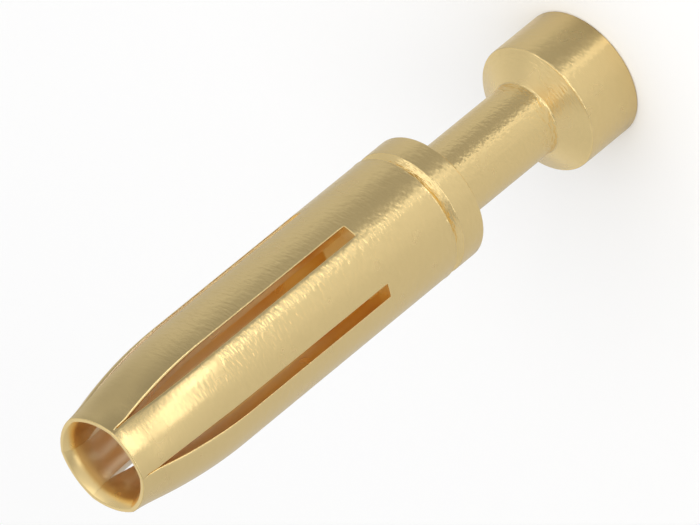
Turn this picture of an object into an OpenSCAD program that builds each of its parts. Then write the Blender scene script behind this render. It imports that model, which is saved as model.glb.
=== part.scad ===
// Crimp socket contact: one turned, slotted and gold plated brass piece.
// It stands on the rear face of its flange, with the mouth of the socket up.
// A wire is crimped into the neck from below and a round pin goes in between the tines from above.

/* [Body] */
// Length of the body, from the locking shoulder behind the collar to the mouth
body_len = 13.75; // [12:0.05:18]
// Diameter of the body and of its collar
body_d = 4.0; // [3.6:0.05:4.6]
// Edge break on the locking shoulder
shoulder_edge = 0.06; // [0.02:0.02:0.2]

/* [Marker groove] */
// Length of the collar between the locking shoulder and the groove
collar_len = 0.85; // [0.5:0.05:1.4]
// Width of the groove at the surface of the body
groove_w = 0.34; // [0.3:0.02:0.5]
// Depth of the groove, with a 45 degree wall on the collar's side
groove_depth = 0.22; // [0.08:0.02:0.28]

/* [Tines] */
// Number of spring tines, and of the slots between them
tine_count = 6; // [4:1:8]
// Width of each slot, where the tines are still straight
slot_w = 0.42; // [0.3:0.02:0.6]
// Length of the slots, from the mouth to their square ends
slot_len = 9.8; // [7:0.1:11]
// Wall of the tines
tine_wall = 0.45; // [0.3:0.05:0.6]
// Length of the stretch where the tines bend in, from the mouth
bend_len = 4.0; // [3:0.1:6]
// Length of the lip at the mouth, where the tines bend back towards the axis line
lip_len = 0.8; // [0.5:0.1:1.2]
// Outside diameter of the mouth
mouth_d = 3.04; // [2.9:0.02:3.4]
// Wall left at the rim of the mouth by the lead-in flare
rim_wall = 0.25; // [0.15:0.05:0.35]
// Depth of the lead-in flare that guides the pin
lead_in_len = 0.28; // [0.15:0.01:0.4]
// Gap between neighbouring tines where they meet at the mouth
seam_gap = 0.03; // [0.02:0.01:0.06]
// Edge break round the outside of the mouth
mouth_edge = 0.05; // [0.02:0.01:0.08]
// Depth of the pin bore beyond the ends of the slots
bore_past_slots = 1.0; // [0.5:0.1:1.5]

/* [Crimp neck] */
// Length of the neck, from the cone of the flange to the locking shoulder
neck_len = 4.2; // [3.5:0.05:6]
// Diameter of the neck
neck_d = 2.3; // [2.0:0.05:2.8]

/* [Rear flange] */
// Diameter of the flange
flange_d = 4.05; // [3.6:0.05:4.6]
// Length of the rim of the flange
flange_len = 2.0; // [1.4:0.1:2.6]
// Rise of the flange's conical front face, from its rim to the neck
flange_cone = 0.45; // [0.2:0.05:0.6]
// Edge break on the front of the rim
flange_front_edge = 0.07; // [0.03:0.01:0.12]
// Edge break on the rear of the rim
flange_rear_edge = 0.06; // [0.02:0.02:0.2]

/* [Wire bore] */
// Diameter of the bore for the stripped wire
wire_d = 1.45; // [1.1:0.05:1.6]
// Depth of the bore at its full diameter
wire_depth = 7.2; // [6:0.1:7.4]
// Width of the 45 degree funnel at the wire's entry
funnel_w = 0.3; // [0.1:0.05:0.4]

/* [Hidden] */
$fn = 96;

// Angle of the conical bottom that a drill leaves, from the flat
drill_slope = 31;
// Steps along the bend and along the lip of a tine
bend_steps = 9;
lip_steps = 4;
// How far a cutting shape reaches past the surface that it opens
reach = 1;

body_r = body_d / 2;
neck_r = neck_d / 2;
flange_r = flange_d / 2;
mouth_r = mouth_d / 2;
wire_r = wire_d / 2;
pin_bore_r = body_r - tine_wall;

neck_z = flange_len + flange_cone;
shoulder_z = neck_z + neck_len;
groove_z = shoulder_z + collar_len;
mouth_z = shoulder_z + body_len;

// The tines bend in along a parabola and straighten to a third of its slope along the lip
bend_in = body_r - mouth_r;
bend_arc = bend_len - lip_len;
bend_slope = bend_in / (bend_arc / 2 + lip_len * 2 / 3);
lip_slope = bend_slope / 3;

// Outside radius of the tines at a distance s from the mouth
function tine_r(s) =
    s >= bend_len ? body_r
    : s >= lip_len ? body_r - bend_slope * pow(bend_len - s, 2) / (2 * bend_arc)
    : mouth_r + lip_slope * s + (bend_slope - lip_slope) * s * s / (2 * lip_len);

// Width of a slot at a distance s from the mouth: it closes as the tines move towards the axis
function slot_gap(s) = max(seam_gap, slot_w - 2 * sin(180 / tine_count) * (body_r - tine_r(s)));

// Distances from the mouth along the bend, and along the lip to a given end, shifted by a part of a step
function bend_stations(shift) = [for (i = [0 : bend_steps]) bend_len - bend_arc * (i - shift) / bend_steps];
function lip_stations(end, shift) = [for (i = [1 : lip_steps]) lip_len - (lip_len - end) * (i - shift) / lip_steps];

contact_r = tine_r(lip_len) - tine_wall;
rim_inner_r = mouth_r - rim_wall;

// Half section of the turned blank, with the tines already bent in
module blank_section() {
    floor_r = body_r - groove_depth;
    stations = concat(bend_stations(0), lip_stations(mouth_edge, 0));
    polygon(concat(
        [
            [0, 0],
            [flange_r - flange_rear_edge, 0],
            [flange_r, flange_rear_edge],
            [flange_r, flange_len - flange_front_edge],
            [flange_r - flange_front_edge, flange_len],
            [neck_r, neck_z],
            [neck_r, shoulder_z],
            [body_r - shoulder_edge, shoulder_z],
            [body_r, shoulder_z + shoulder_edge],
            [body_r, groove_z],
            [floor_r, groove_z + groove_depth],
            [floor_r, groove_z + groove_w],
            [body_r, groove_z + groove_w]
        ],
        [for (s = stations) [tine_r(s), mouth_z - s]],
        [
            [mouth_r - mouth_edge, mouth_z],
            [0, mouth_z]
        ]
    ));
}

// Half section of the pin bore: drilled straight, closed in with the tines, with a contact land
// near the mouth and a lead-in flare
module pin_bore_section() {
    bore_end_z = mouth_z - slot_len - bore_past_slots;
    flare_slope = (rim_inner_r - contact_r) / lead_in_len;
    polygon(concat(
        [
            [0, bore_end_z - pin_bore_r * tan(drill_slope)],
            [pin_bore_r, bore_end_z]
        ],
        [for (s = bend_stations(0)) [tine_r(s) - tine_wall, mouth_z - s]],
        [
            [contact_r, mouth_z - lead_in_len],
            [rim_inner_r + flare_slope * reach, mouth_z + reach],
            [0, mouth_z + reach]
        ]
    ));
}

// Half section of the wire bore, with its drilled bottom and its funnel
module wire_bore_section() {
    polygon([
        [0, -reach],
        [wire_r + funnel_w + reach, -reach],
        [wire_r, funnel_w],
        [wire_r, wire_depth],
        [0, wire_depth + wire_r * tan(drill_slope)]
    ]);
}

// One slot, cut outwards from the axis along +X, narrowing with the bend of the tines. Its sides turn
// midway between the steps of the turned section.
module slot() {
    half_step = 0.5;
    stations = concat(bend_stations(half_step), lip_stations(0, half_step));
    side = concat(
        [[slot_w / 2, mouth_z - slot_len]],
        [for (s = stations) [slot_gap(s) / 2, mouth_z - s]],
        [[slot_gap(0) / 2, mouth_z + reach]]
    );
    other_side = [for (i = [len(side) - 1 : -1 : 0]) [-side[i][0], side[i][1]]];
    rotate([90, 0, 90])
        linear_extrude(height = body_r + reach)
            polygon(concat(side, other_side));
}

module contact() {
    color([0.86, 0.75, 0.50])
        difference() {
            rotate_extrude() blank_section();
            rotate_extrude() pin_bore_section();
            rotate_extrude() wire_bore_section();
            for (i = [0 : tine_count - 1])
                rotate([0, 0, i * 360 / tine_count]) slot();
        }
}

contact();
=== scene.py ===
import math

import bmesh
import bpy
from mathutils import Matrix, Vector


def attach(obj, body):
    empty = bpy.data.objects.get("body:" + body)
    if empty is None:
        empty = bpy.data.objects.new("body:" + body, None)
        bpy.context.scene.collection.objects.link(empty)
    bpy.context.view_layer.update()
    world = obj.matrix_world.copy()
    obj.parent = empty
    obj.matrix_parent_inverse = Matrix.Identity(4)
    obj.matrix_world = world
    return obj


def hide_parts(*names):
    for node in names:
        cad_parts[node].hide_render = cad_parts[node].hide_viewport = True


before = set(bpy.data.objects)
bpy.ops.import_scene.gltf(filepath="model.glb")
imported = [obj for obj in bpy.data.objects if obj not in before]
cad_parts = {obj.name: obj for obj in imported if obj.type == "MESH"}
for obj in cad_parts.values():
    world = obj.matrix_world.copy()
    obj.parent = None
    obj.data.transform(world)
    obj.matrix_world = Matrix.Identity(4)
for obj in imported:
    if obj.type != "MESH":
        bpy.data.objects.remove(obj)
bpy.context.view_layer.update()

# The turned blank
# The real contact is one length of brass rod, turned to shape on a lathe and drilled from both ends. Its
# half section runs from the bottom of the wire bore, round the outside with its burred groove and over the
# flared mouth to the bottom of the pin bore. It is drawn in millimetres, with the socket open, and spun.
body_r = 2.0
neck_r = 1.15
flange_r = 2.025
wire_r = 0.725
wire_depth = 7.2
funnel_w = 0.3
cone_z = 1.96
neck_z = 2.45
shoulder_z = 6.65
groove_z = 7.5
groove_w = 0.34
groove_depth = 0.22
burr_h = 0.015
burr_len = 0.05
mouth_z = 20.4
mouth_r = 1.5
rim_inner_r = 1.39
flare_r = 1.255
flare_len = 0.19
lead_in_len = 0.55
bend_len = 4.0
lip_len = 0.8
tine_wall = 0.45
slot_w = 0.42
slot_root_z = 10.6
seam_gap = 0.004
pin_bore_end_z = 9.6
drill_slope = math.radians(31)
turns = 96


def bend_in(s):
    """How far a closed tine lies inside the body's radius, at a distance s from the mouth."""
    slope = (body_r - mouth_r) / ((bend_len - lip_len) / 2 + lip_len * 2 / 3)
    if s >= bend_len:
        return 0.0
    if s >= lip_len:
        return slope * (bend_len - s) ** 2 / (2 * (bend_len - lip_len))
    return body_r - mouth_r - slope / 3 * s - slope * 2 / 3 * s * s / (2 * lip_len)


def closing(z):
    """How far the closing die pushes a tine in at a height z, until it meets its neighbours."""
    return min(bend_in(mouth_z - z), slot_w - seam_gap)


def rounded(outline, steps=5):
    """The outline with an arc of the given radius at each corner that has one."""
    points = []
    for i, (r, z, radius) in enumerate(outline):
        if not radius:
            points.append((r, z))
            continue
        into = math.atan2(z - outline[i - 1][1], r - outline[i - 1][0])
        out = math.atan2(outline[i + 1][1] - z, outline[i + 1][0] - r)
        turn = (out - into + math.pi) % (2 * math.pi) - math.pi
        side = math.copysign(radius, turn)
        reach = radius * math.tan(abs(turn) / 2)
        centre_r = r - reach * math.cos(into) - side * math.sin(into)
        centre_z = z - reach * math.sin(into) + side * math.cos(into)
        for k in range(steps + 1):
            angle = into + turn * k / steps
            points.append((centre_r + side * math.sin(angle), centre_z - side * math.cos(angle)))
    return points


# The heights at which rows of points follow the body and the tines
body_rows = [8.2, 9.0, 9.8, 10.3, 11.0, 11.8, 12.6, 13.4, 14.2, 15.0, 15.8]
bend_row_gap = 0.1
bend_row_count = round((bend_len - lip_len) / bend_row_gap) + 1
bend_rows = [mouth_z - bend_len + bend_row_gap * k for k in range(bend_row_count)]
lip_row_gap = 0.08
lip_row_count = 7
lip_rows = [mouth_z - lip_len + lip_row_gap * k for k in range(1, lip_row_count + 1)]
tine_rows = [z for z in body_rows if z > slot_root_z] + bend_rows + lip_rows

# Each corner is a radius from the axis, a height and the radius of its rounding
floor_r = body_r - groove_depth
contact_r = body_r - bend_in(lip_len) - tine_wall
pin_bore_r = body_r - tine_wall
fine_edge = 0.03
small_edge = 0.05
turned_edge = 0.06
cone_edge = 0.08
burr_edge = 0.012
mouth_edge = 0.04
flare_round = 0.7
land_round = 0.9
bore_end_round = 0.1
outside = [
    (0, wire_depth + wire_r * math.tan(drill_slope), 0),
    (wire_r, wire_depth, 0),
    (wire_r, funnel_w, small_edge),
    (wire_r + funnel_w, 0, fine_edge),
    (flange_r, 0, turned_edge),
    (flange_r, cone_z, cone_edge),
    (neck_r, neck_z, cone_edge),
    (neck_r, shoulder_z, small_edge),
    (body_r, shoulder_z, turned_edge),
    (body_r, groove_z, small_edge),
    (floor_r, groove_z + groove_depth, fine_edge),
    (floor_r, groove_z + groove_w, fine_edge),
    (body_r + burr_h, groove_z + groove_w, burr_edge),
    (body_r, groove_z + groove_w + burr_len, small_edge),
]
outside += [(body_r - bend_in(mouth_z - z), z, 0) for z in body_rows + bend_rows + lip_rows]
mouth = [
    (mouth_r, mouth_z, mouth_edge),
    (rim_inner_r, mouth_z, turned_edge),
    (flare_r, mouth_z - flare_len, flare_round),
    (contact_r, mouth_z - lead_in_len, land_round),
]
inside_rows = [z for z in reversed(body_rows + bend_rows) if z > pin_bore_end_z]
inside = [(pin_bore_r - bend_in(mouth_z - z), z, 0) for z in inside_rows]
inside += [
    (pin_bore_r, pin_bore_end_z, bore_end_round),
    (0, pin_bore_end_z - pin_bore_r * math.tan(drill_slope), 0),
]
section = [(r + closing(z), z) for r, z in rounded(outside + mouth + inside)]

bpy.ops.object.select_all(action="DESELECT")
bpy.ops.mesh.primitive_plane_add(size=1)
contact = bpy.context.object
contact.name = "gold_contact"
bpy.ops.object.mode_set(mode="EDIT")
bpy.ops.mesh.select_all(action="SELECT")
bpy.ops.mesh.merge(type="CENTER")
half_step = math.pi / turns
here = None
for r, z in section:
    point = Vector((r * math.cos(half_step), r * math.sin(half_step), z))
    if here is None:
        bpy.ops.transform.translate(value=point)
    else:
        bpy.ops.mesh.extrude_vertices_move(TRANSFORM_OT_translate={"value": point - here})
    here = point
bpy.ops.mesh.select_all(action="SELECT")
bpy.ops.mesh.spin(steps=turns, angle=2 * math.pi, center=(0, 0, 0), axis=(0, 0, 1))
bpy.ops.mesh.select_all(action="SELECT")
bpy.ops.mesh.remove_doubles(threshold=0.001)
bpy.ops.mesh.normals_make_consistent(inside=False)
bpy.ops.object.mode_set(mode="OBJECT")

# The saw cuts
# Three passes of a slitting saw straight across the socket end leave six tines with square-ended slots
# between them. Each pass is a thin block that is cut from the blank. The outer edges of the slots are then
# broken, a little at the slots' ends, more along the bend, and less again where the tines meet at the lip.
saw_reach = 3.0
saw_top = 22.0
saw_passes = 3
for k in range(saw_passes):
    bpy.ops.object.select_all(action="DESELECT")
    bpy.ops.mesh.primitive_cube_add(
        size=1,
        location=(0, 0, (slot_root_z + saw_top) / 2),
        rotation=(0, 0, k * math.pi / saw_passes),
        scale=(2 * saw_reach, slot_w, saw_top - slot_root_z),
    )
    saw = bpy.context.object
    bpy.context.view_layer.objects.active = contact
    cut = contact.modifiers.new("saw_cut", "BOOLEAN")
    cut.operation = "DIFFERENCE"
    cut.solver = "EXACT"
    cut.object = saw
    bpy.ops.object.modifier_apply(modifier=cut.name)
    bpy.data.objects.remove(saw)

edge_margin = 0.1
rim_margin = 0.2
lowest_edge_z = slot_root_z - edge_margin
bpy.ops.object.select_all(action="DESELECT")
contact.select_set(True)
bpy.ops.object.mode_set(mode="EDIT")
for z in tine_rows:
    bpy.ops.mesh.select_all(action="SELECT")
    bpy.ops.mesh.bisect(plane_co=(0, 0, z), plane_no=(0, 0, 1), threshold=0.0005)
bpy.ops.mesh.select_mode(type="EDGE")
bpy.ops.mesh.select_all(action="DESELECT")
bpy.ops.mesh.edges_select_sharp(sharpness=math.radians(60))
slit_mesh = bmesh.from_edit_mesh(contact.data)
for edge in slit_mesh.edges:
    middle = (edge.verts[0].co + edge.verts[1].co) / 2
    along_slot = lowest_edge_z <= middle.z <= mouth_z - rim_margin
    if not along_slot or middle.xy.length < body_r - edge_margin:
        edge.select = False
slit_mesh.select_flush_mode()

# Each step of the wear keeps the edges between two heights and adds a share of the full width
edge_break_w = 0.09
worn_z = 14.3
bend_z = mouth_z - bend_len
full_wear_z = 17.4
lip_edge_z = 19.65
edge_wear = [
    (lowest_edge_z, mouth_z, 0.32),
    (worn_z, mouth_z, 0.13),
    (worn_z, lip_edge_z, 0.05),
    (bend_z, lip_edge_z, 0.2),
    (full_wear_z, lip_edge_z, 0.3),
]
for low, high, added in edge_wear:
    slit_mesh = bmesh.from_edit_mesh(contact.data)
    for edge in slit_mesh.edges:
        middle_z = (edge.verts[0].co.z + edge.verts[1].co.z) / 2
        if not low < middle_z < high:
            edge.select = False
    slit_mesh.select_flush_mode()
    bpy.ops.transform.edge_bevelweight(value=added)
bpy.ops.object.mode_set(mode="OBJECT")
edge_break = contact.modifiers.new("edge_break", "BEVEL")
edge_break.width = edge_break_w
edge_break.use_clamp_overlap = False
edge_break.segments = 3
edge_break.limit_method = "WEIGHT"
bpy.ops.object.modifier_apply(modifier=edge_break.name)

# The closed tines
# A die pushes the six tines in at the mouth until they touch, so that they grip the pin. Each tine keeps
# the curve of the body, which leaves the mouth a little six-sided. One sixth of the piece is cut out at
# the middles of two slots, its tine is pushed in row by row, and the sixth is copied round the axis.
tine_count = 2 * saw_passes
sixth = 2 * math.pi / tine_count
tine_out = Vector((math.cos(sixth / 2), math.sin(sixth / 2), 0))
bpy.ops.object.mode_set(mode="EDIT")
for normal in ((0, -1, 0), (-math.sin(sixth), math.cos(sixth), 0)):
    bpy.ops.mesh.select_all(action="SELECT")
    bpy.ops.mesh.bisect(plane_co=(0, 0, 0), plane_no=normal, threshold=0.0001, clear_outer=True)
bpy.ops.mesh.select_mode(type="VERT")
row_height = 0.001
heights = [v.co.z for v in bmesh.from_edit_mesh(contact.data).verts]
for row in sorted({round(z / row_height) for z in heights if closing(z) > 0}):
    bpy.ops.mesh.select_all(action="DESELECT")
    sixth_mesh = bmesh.from_edit_mesh(contact.data)
    for v in sixth_mesh.verts:
        v.select = round(v.co.z / row_height) == row
    sixth_mesh.select_flush_mode()
    bpy.ops.transform.translate(value=tine_out * -closing(row * row_height))
bpy.ops.mesh.select_all(action="SELECT")
bpy.ops.mesh.spin(
    steps=tine_count - 1,
    dupli=True,
    angle=2 * math.pi - sixth,
    center=(0, 0, 0),
    axis=(0, 0, 1),
)
bpy.ops.mesh.select_all(action="SELECT")
bpy.ops.mesh.remove_doubles(threshold=0.0005)
bpy.ops.mesh.normals_make_consistent(inside=False)
metre = 0.001
bpy.ops.transform.resize(value=(metre, metre, metre), center_override=(0, 0, 0))
bpy.ops.object.mode_set(mode="OBJECT")
bpy.ops.object.shade_smooth_by_angle(angle=math.radians(35))
even_normals = contact.modifiers.new("even_normals", "WEIGHTED_NORMAL")
even_normals.keep_sharp = True
bpy.ops.object.modifier_apply(modifier=even_normals.name)

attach(contact, "root")
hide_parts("contact")

# The gold plate
# A thin plate of hard gold over the turned brass: pale and satin. The lathe tool has left short fine dashes
# round the axis, which catch the light in glints and are worn away at the mouth and on the flange's cone.
# The slots and bores are a little duller, and their colour is painted shade: more orange at the drilled
# bottom, browner and darker near the mouth.
gold = bpy.data.materials.new("gold_plate")
gold.use_nodes = True
gold_tree = gold.node_tree
shader = gold_tree.nodes["Principled BSDF"]
shader.inputs["Metallic"].default_value = 1.0
shader.inputs["Anisotropic"].default_value = 0.5
shader.inputs["Anisotropic Rotation"].default_value = 0.25


def plug(tree, value, socket):
    """Feeds a socket with another node's output, or sets it to a plain value."""
    if isinstance(value, bpy.types.NodeSocket):
        tree.links.new(value, socket)
    else:
        socket.default_value = value


def math_node(tree, operation, first, second):
    """The result of a Math node."""
    made = tree.nodes.new("ShaderNodeMath")
    made.operation = operation
    plug(tree, first, made.inputs[0])
    plug(tree, second, made.inputs[1])
    return made.outputs["Value"]


def vector_node(tree, operation, *values):
    """The result of a Vector Math node, which is a number for a length or a dot product."""
    made = tree.nodes.new("ShaderNodeVectorMath")
    made.operation = operation
    for value, socket in zip(values, made.inputs):
        plug(tree, value, socket)
    return made.outputs["Value" if operation in ("LENGTH", "DOT_PRODUCT") else "Vector"]


def range_node(tree, value, low, high, at_low=0.0, at_high=1.0):
    """The result of a Map Range node: at_low below the low value, at_high above the high one."""
    made = tree.nodes.new("ShaderNodeMapRange")
    plug(tree, value, made.inputs["Value"])
    plug(tree, low, made.inputs["From Min"])
    plug(tree, high, made.inputs["From Max"])
    plug(tree, at_low, made.inputs["To Min"])
    plug(tree, at_high, made.inputs["To Max"])
    return made.outputs["Result"]


def mix_node(tree, share, first, second):
    """A colour between two others."""
    made = tree.nodes.new("ShaderNodeMix")
    made.data_type = "RGBA"
    plug(tree, share, made.inputs["Factor"])
    plug(tree, first, made.inputs["A"])
    plug(tree, second, made.inputs["B"])
    return made.outputs["Result"]


def ramp_node(tree, share, stops, interpolation):
    """The colour of a Color Ramp whose stops are each a share and a colour."""
    made = tree.nodes.new("ShaderNodeValToRGB")
    made.color_ramp.interpolation = interpolation
    elements = made.color_ramp.elements
    while len(elements) < len(stops):
        elements.new(0.5)
    for element, (place_on_ramp, colour) in zip(elements, stops):
        element.position = place_on_ramp
        element.color = (*colour, 1)
    plug(tree, share, made.inputs["Fac"])
    return made.outputs["Color"]


def up_part(vector):
    """The part of a vector on the gold plate that points along the axis."""
    made = gold_tree.nodes.new("ShaderNodeSeparateXYZ")
    plug(gold_tree, vector, made.inputs["Vector"])
    return made.outputs["Z"]


def noise_node(place_read, scale, detail):
    """A Noise Texture on the gold plate."""
    made = gold_tree.nodes.new("ShaderNodeTexNoise")
    made.inputs["Scale"].default_value = scale
    made.inputs["Detail"].default_value = detail
    plug(gold_tree, place_read, made.inputs["Vector"])
    return made.outputs["Fac"]


surface = gold_tree.nodes.new("ShaderNodeTexCoord")
place = surface.outputs["Object"]
place_z = up_part(place)
across = vector_node(gold_tree, "MULTIPLY", place, (1, 1, 0))
from_axis = vector_node(gold_tree, "LENGTH", across)
facing_out = vector_node(gold_tree, "DOT_PRODUCT", across, surface.outputs["Normal"])
least_out = 0.0003
fully_out = 0.001
turned_part = range_node(gold_tree, facing_out, least_out, fully_out)

# The marks are short dashes round the axis, so the noise is read on a cylinder that is stretched along it
feed_pitch = 0.0001
dashes_round = 8.0
mark_height = 0.000019
along = math_node(gold_tree, "SUBTRACT", place_z, from_axis)
outward = vector_node(gold_tree, "NORMALIZE", across)
feed = gold_tree.nodes.new("ShaderNodeCombineXYZ")
plug(gold_tree, math_node(gold_tree, "DIVIDE", along, feed_pitch), feed.inputs["Z"])
dash_place = vector_node(gold_tree, "MULTIPLY_ADD", outward, (dashes_round,) * 3, feed.outputs["Vector"])
dashes = noise_node(dash_place, scale=1, detail=1)
burnish_start = 0.0160
burnish_end = 0.0180
burnished = range_node(gold_tree, place_z, burnish_start, burnish_end, at_low=1.0, at_high=0.2)
sloped_face = 0.75
flat_face = 0.85
facing_up = up_part(surface.outputs["Normal"])
faced = range_node(gold_tree, facing_up, sloped_face, flat_face, at_low=1.0, at_high=0.4)
wear = math_node(gold_tree, "MULTIPLY", faced, burnished)
mark_depth = math_node(gold_tree, "MULTIPLY", turned_part, wear)
tool_marks = gold_tree.nodes.new("ShaderNodeBump")
tool_marks.inputs["Strength"].default_value = 1.0
tool_marks.inputs["Distance"].default_value = mark_height
plug(gold_tree, math_node(gold_tree, "MULTIPLY", dashes, mark_depth), tool_marks.inputs["Height"])
plug(gold_tree, tool_marks.outputs["Normal"], shader.inputs["Normal"])

inside_dullness = 0.05
patch_low = 0.3
patch_high = 0.7
patches = noise_node(place, scale=1100, detail=2)
satin = range_node(gold_tree, patches, patch_low, patch_high, at_low=0.22, at_high=0.28)
inside_part = math_node(gold_tree, "SUBTRACT", 1.0, turned_part)
dull = math_node(gold_tree, "MULTIPLY", inside_part, inside_dullness)
plug(gold_tree, math_node(gold_tree, "ADD", satin, dull), shader.inputs["Roughness"])

# The bore's painted shade runs from its drilled bottom to the mouth: more orange deep down, browner and
# darker towards the mouth
bore_bottom_z = 8.5
bore_shade_tones = [
    (0.0, (1.0, 0.77, 0.38)),
    (0.21, (1.0, 0.80, 0.44)),
    (0.462, (0.985, 0.795, 0.465)),
    (0.758, (0.86, 0.675, 0.45)),
    (0.925, (0.86, 0.675, 0.45)),
    (0.97, (0.96, 0.738, 0.353)),
]
deep_gold = (0.93, 0.712, 0.338, 1)
pale_gold = (0.99, 0.764, 0.368, 1)
bore_share = range_node(gold_tree, place_z, bore_bottom_z * metre, mouth_z * metre)
painted_bore_shade = ramp_node(gold_tree, bore_share, bore_shade_tones, "LINEAR")
outside_tone = mix_node(gold_tree, dashes, deep_gold, pale_gold)
# Inside, the plate's colour is the painted bore shade
plate_and_painted_shade = mix_node(gold_tree, turned_part, painted_bore_shade, outside_tone)
plug(gold_tree, plate_and_painted_shade, shader.inputs["Base Color"])
contact.data.materials.append(gold)

# The floor
# A plain sheet of white paper that the contact stands on. A grey card with a painted reflection lies just
# over it, hidden from the camera and casting no shadow, so only the metal mirrors it. Its greys are painted
# bands of light and shade round the contact, with one pale stripe as a painted highlight and a dark band
# as painted shade. The card's tones twist round the contact further out, where one side of it is painted
# darker, and close to the foot the card is painted lighter where the contact shades it.
view_azimuth = math.radians(-20.0)
paper_r = 0.6
bpy.ops.object.select_all(action="DESELECT")
bpy.ops.mesh.primitive_circle_add(vertices=64, radius=paper_r, fill_type="NGON")
floor = bpy.context.object
floor.name = "floor"
paper = bpy.data.materials.new("white_paper")
paper.use_nodes = True
paper_shader = paper.node_tree.nodes["Principled BSDF"]
paper_shader.inputs["Base Color"].default_value = (0.96, 0.96, 0.96, 1)
paper_shader.inputs["Roughness"].default_value = 0.9
paper_shader.inputs["Specular IOR Level"].default_value = 0.0
floor.data.materials.append(paper)


def turn_share(tree, coordinate):
    """The share of a turn round the axis at which a place lies, with 0.5 on the camera's side."""
    turned = tree.nodes.new("ShaderNodeMapping")
    turned.inputs["Rotation"].default_value = (0, 0, -view_azimuth)
    plug(tree, coordinate, turned.inputs["Vector"])
    radial = tree.nodes.new("ShaderNodeTexGradient")
    radial.gradient_type = "RADIAL"
    plug(tree, turned.outputs["Vector"], radial.inputs["Vector"])
    return radial.outputs["Fac"]


def round_stops(tones):
    """The stops of a ramp from angles in degrees, counted from the camera's side, and levels of grey."""
    return [(0.5 + turn / 360, (level, level, level)) for turn, level in tones]


card_r = 0.5
card_lift = 0.00002
bpy.ops.mesh.primitive_circle_add(vertices=64, radius=card_r, fill_type="NGON", location=(0, 0, card_lift))
card = bpy.context.object
card.name = "painted_reflection_card"
card.visible_camera = False
card.visible_diffuse = False
card.visible_shadow = False
grey = bpy.data.materials.new("painted_reflection_grey")
grey.use_nodes = True
grey_tree = grey.node_tree
grey_shader = grey_tree.nodes["Principled BSDF"]
grey_shader.inputs["Roughness"].default_value = 0.9
grey_shader.inputs["Specular IOR Level"].default_value = 0.0

# Close to the contact the angles are opened out, because its skin and not its axis mirrors them
mirror_r = 0.001
card_place = grey_tree.nodes.new("ShaderNodeTexCoord").outputs["Object"]
to_axis = vector_node(grey_tree, "LENGTH", card_place)
near = math_node(grey_tree, "SUBTRACT", 1.0, math_node(grey_tree, "DIVIDE", mirror_r, to_axis))
from_front = math_node(grey_tree, "SUBTRACT", turn_share(grey_tree, card_place), 0.5)
half_turn = math_node(grey_tree, "DIVIDE", from_front, near)

# Painted reflection: greys round the contact, a pale stripe as a painted highlight and a dark band as
# painted shade
painted_reflection_tones = [
    (-140, 0.57), (-50, 0.58), (-12, 0.64), (6, 0.66), (12, 0.82), (17, 0.82), (31, 0.41), (44, 0.345),
    (60, 0.36), (100, 0.54), (145, 0.52), (170, 0.66),
]
twist_start = 0.026
twist_end = 0.12
twist_turn = 26 / 360
twist = range_node(grey_tree, to_axis, twist_start, twist_end, at_low=0.5, at_high=0.5 + twist_turn)
twisted = math_node(grey_tree, "ADD", half_turn, twist)
grade = ramp_node(grey_tree, twisted, round_stops(painted_reflection_tones), "EASE")
# Further out one side of the card is painted darker: painted shade in the reflection
far_tones = [(20, 1.0), (55, 0.68), (100, 0.7), (140, 1.0)]
far_start = 0.030
far_end = 0.055
far_turn = math_node(grey_tree, "ADD", half_turn, 0.5)
far_shade = ramp_node(grey_tree, far_turn, round_stops(far_tones), "EASE")
far_out = range_node(grey_tree, to_axis, far_start, far_end)
shaded = mix_node(grey_tree, far_out, (1, 1, 1, 1), far_shade)
# Close to the foot the card is painted lighter where the contact's own shadow falls on it: painted light
foot_start = 0.004
foot_end = 0.012
painted_foot_lift = range_node(grey_tree, to_axis, foot_start, foot_end, at_low=1.08, at_high=1.0)
card_level = math_node(grey_tree, "MULTIPLY", shaded, painted_foot_lift)
card_tone = math_node(grey_tree, "MULTIPLY", grade, card_level)
plug(grey_tree, card_tone, grey_shader.inputs["Base Color"])
card.data.materials.append(grey)

# The light
# A pale room, graded round the contact, and five soft lamps, as a product studio would use. A sixth lamp
# lights the paper from high above, and the metal doesn't mirror it. All places are angles from the camera's
# side.
room_tones = [
    (-170, 0.75), (-120, 0.6), (-95, 0.64), (-74, 0.66), (-49, 0.4), (-22, 0.68), (0, 0.75), (60, 0.72),
    (110, 0.6), (170, 0.75),
]
world = bpy.data.worlds.new("studio")
bpy.context.scene.world = world
world.use_nodes = True
room_tree = world.node_tree
room = room_tree.nodes["Background"]
room_turn = turn_share(room_tree, room_tree.nodes.new("ShaderNodeTexCoord").outputs["Generated"])
plug(room_tree, ramp_node(room_tree, room_turn, round_stops(room_tones), "EASE"), room.inputs["Color"])
room.inputs["Strength"].default_value = 1.0


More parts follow.
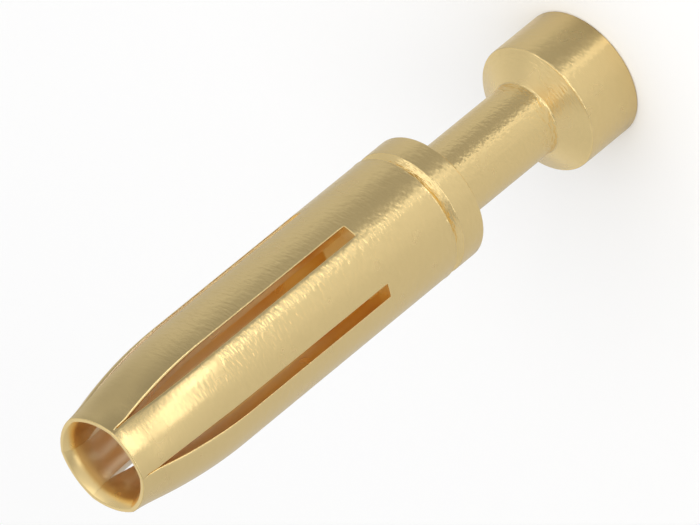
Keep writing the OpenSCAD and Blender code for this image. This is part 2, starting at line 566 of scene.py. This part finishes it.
def direction(azimuth, elevation):
    """The way from the contact towards a place at an azimuth and an elevation."""
    level = math.cos(elevation)
    return Vector((level * math.cos(azimuth), level * math.sin(azimuth), math.sin(elevation)))


def softbox(name, turn, rise, distance, width, height, glow):
    """A flat lamp at an azimuth from the camera's and an elevation in degrees, facing the contact."""
    bpy.ops.object.light_add(type="AREA")
    lamp = bpy.context.object
    lamp.name = name
    lamp.data.shape = "RECTANGLE"
    lamp.data.size = width
    lamp.data.size_y = height
    lamp.data.energy = glow * math.pi * width * height
    away = direction(view_azimuth + math.radians(turn), math.radians(rise))
    lamp.location = away * distance
    lamp.rotation_euler = away.to_track_quat("Z", "Y").to_euler()
    lamp.visible_camera = False
    return lamp


softbox("top_lamp", turn=0, rise=60, distance=0.3, width=0.10, height=0.10, glow=0.5)
softbox("high_left_lamp", turn=48, rise=48, distance=0.3, width=0.30, height=0.10, glow=0.7)
softbox("low_front_lamp", turn=-7, rise=28, distance=0.0284, width=0.012, height=0.0065, glow=1.3)
softbox("right_front_lamp", turn=-38, rise=12, distance=0.3, width=0.12, height=0.04, glow=2.0)
softbox("small_front_lamp", turn=11, rise=3.6, distance=0.04, width=0.009, height=0.0045, glow=3.2)
floor_lamp = softbox("floor_lamp", turn=0, rise=80, distance=0.3, width=0.2, height=0.2, glow=2.55)
floor_lamp.visible_glossy = False

# The camera
# It looks down on the standing contact through a long lens, rolled so that the contact lies across the
# picture with its mouth at the lower left.
view_elevation = math.radians(32.94)
view_roll = math.radians(-129.265)
view_distance = 0.33104
view_target = Vector((0, 0, 0.01003))
bpy.ops.object.camera_add()
camera = bpy.context.object
camera.data.sensor_width = 36.0
camera.data.lens = 617.14
camera.data.clip_start = 0.01
camera.data.clip_end = 2.0
back = direction(view_azimuth, view_elevation)
camera.location = view_target + back * view_distance
upright = back.to_track_quat("Z", "Y").to_matrix().to_4x4()
camera.rotation_euler = (upright @ Matrix.Rotation(view_roll, 4, "Z")).to_euler()
scene = bpy.context.scene
scene.camera = camera
scene.view_settings.view_transform = "Standard"
scene.cycles.max_bounces = 16
scene.cycles.glossy_bounces = 12
